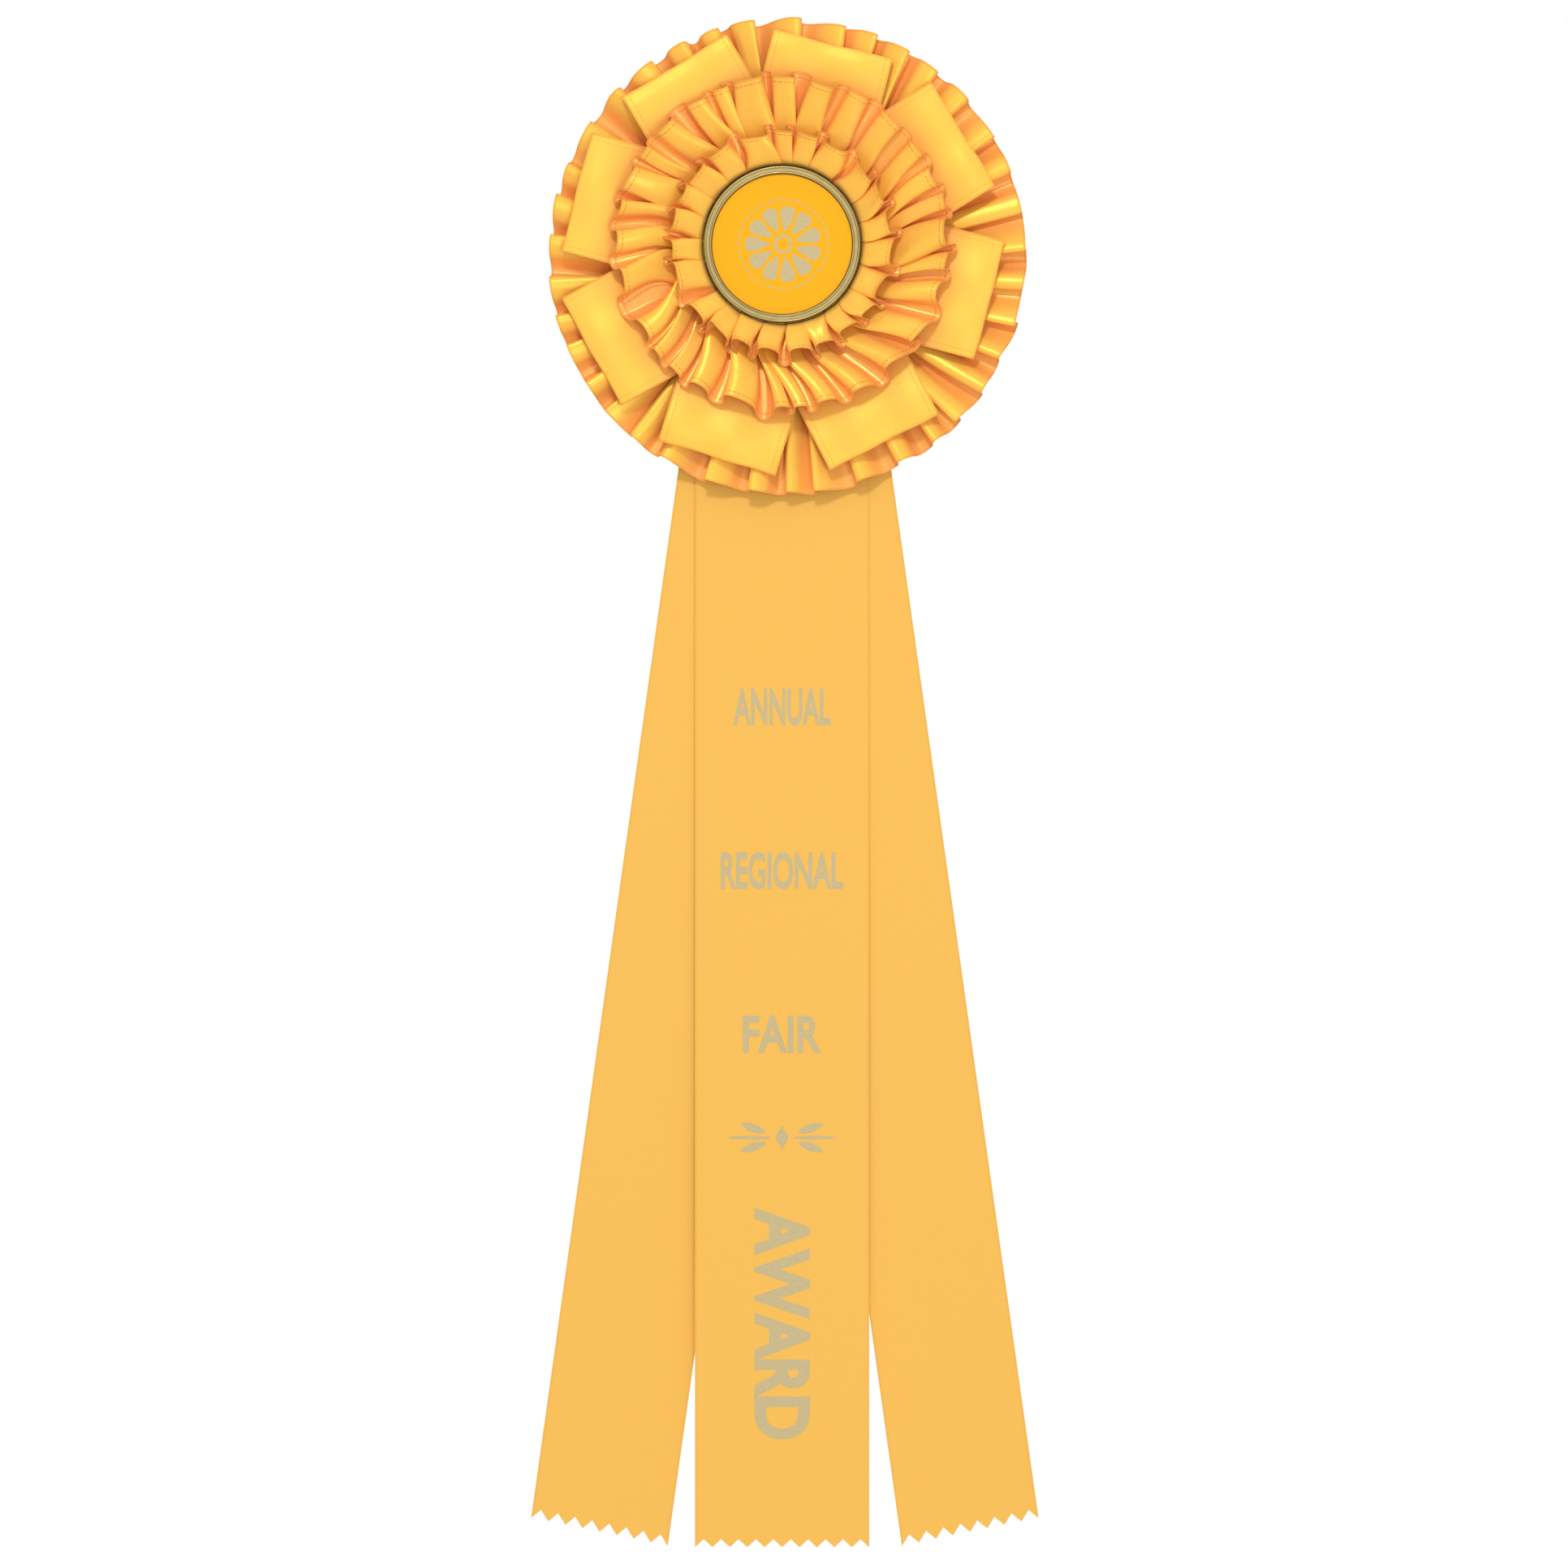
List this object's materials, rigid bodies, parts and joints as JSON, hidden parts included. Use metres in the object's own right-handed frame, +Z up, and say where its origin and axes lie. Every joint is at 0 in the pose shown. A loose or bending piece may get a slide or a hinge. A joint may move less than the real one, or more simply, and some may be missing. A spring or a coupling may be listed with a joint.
{
  "type": "award rosette ribbon",
  "caption": "Gathered gold satin award rosette with a round centre button, folded loops, flat pinked streamers and a bar pin.",
  "frame": {"origin": "middle of the bar pin's stem, on the outer ruffle's own centre line, where the rosette is held to clothing", "axes": "+Z up along the hanging streamers, +X to the viewer's right, -Y out of the button towards the viewer, +Y to the wearer"},
  "size_m": [0.1852, 0.0266, 0.5571],
  "materials": {
    "card": "pressed cardboard",
    "steel_wire": "zinc coated wire",
    "outer_ribbon": "gold satin, knife pleated",
    "middle_ribbon": "gold satin, gathered",
    "inner_ribbon": "gold satin, knife pleated",
    "loop_ribbon": "gold satin, folded",
    "streamer_ribbon": "flat gold satin with foil print",
    "thread": "twisted thread",
    "glue": "hot melt",
    "tinplate": "tinned sheet",
    "button_satin": "smooth printed satin",
    "antique_brass": "antiqued, lacquered",
    "nickel": "nickel plated",
    "pin_steel": "bright drawn wire"
  },
  "bodies": {
    "rosette": {"back_card": "card", "outer_card": "card", "loop_card": "card", "middle_card": "card", "inner_card": "card", "streamer_staples": "steel_wire", "loop_staples": "steel_wire", "outer_ruffle": "outer_ribbon", "middle_ruffle": "middle_ribbon", "inner_ruffle": "inner_ribbon", "outer_stitches": "thread", "middle_stitches": "thread", "inner_stitches": "thread", "outer_glue": "glue", "loop_glue": "glue", "middle_glue": "glue", "button_prongs": "tinplate", "button_board": "card", "button_face": "button_satin", "button_rim": "antique_brass", "pin_bar": "nickel", "pin_rivet": "nickel", "left_streamer_head": "streamer_ribbon", "right_streamer_head": "streamer_ribbon", "centre_streamer_head": "streamer_ribbon", "loop_1": "loop_ribbon", "loop_2": "loop_ribbon", "loop_3": "loop_ribbon", "loop_4": "loop_ribbon", "loop_5": "loop_ribbon", "loop_6": "loop_ribbon", "loop_7": "loop_ribbon", "loop_8": "loop_ribbon"},
    "centre_tail": {"centre_streamer_tail": "streamer_ribbon"},
    "left_tail": {"left_streamer_tail": "streamer_ribbon"},
    "right_tail": {"right_streamer_tail": "streamer_ribbon"},
    "stem": {"pin_stem": "pin_steel"},
    "catch": {"catch_rotor": "nickel"}
  },
  "joints": [
    {"name": "centre_lift", "type": "hinge", "parent": "rosette", "child": "centre_tail", "pos_m": [0, -0.00528, -0.09], "axis": [-1, 0, 0], "range_deg": [0, 80]},
    {"name": "left_lift", "type": "hinge", "parent": "rosette", "child": "left_tail", "pos_m": [0, -0.00458, -0.17816], "axis": [1, 0, 0], "range_deg": [0, 80]},
    {"name": "right_lift", "type": "hinge", "parent": "rosette", "child": "right_tail", "pos_m": [0, -0.00492, -0.17816], "axis": [1, 0, 0], "range_deg": [0, 80]},
    {"name": "stem_swing", "type": "hinge", "parent": "rosette", "child": "stem", "pos_m": [-0.016, 0, 0], "axis": [0, 0, 1], "range_deg": [0, 70]},
    {"name": "catch_turn", "type": "hinge", "parent": "rosette", "child": "catch", "pos_m": [0.0157, 0, 0], "axis": [-1, 0, 0], "range_deg": [0, 90]}
  ]
}
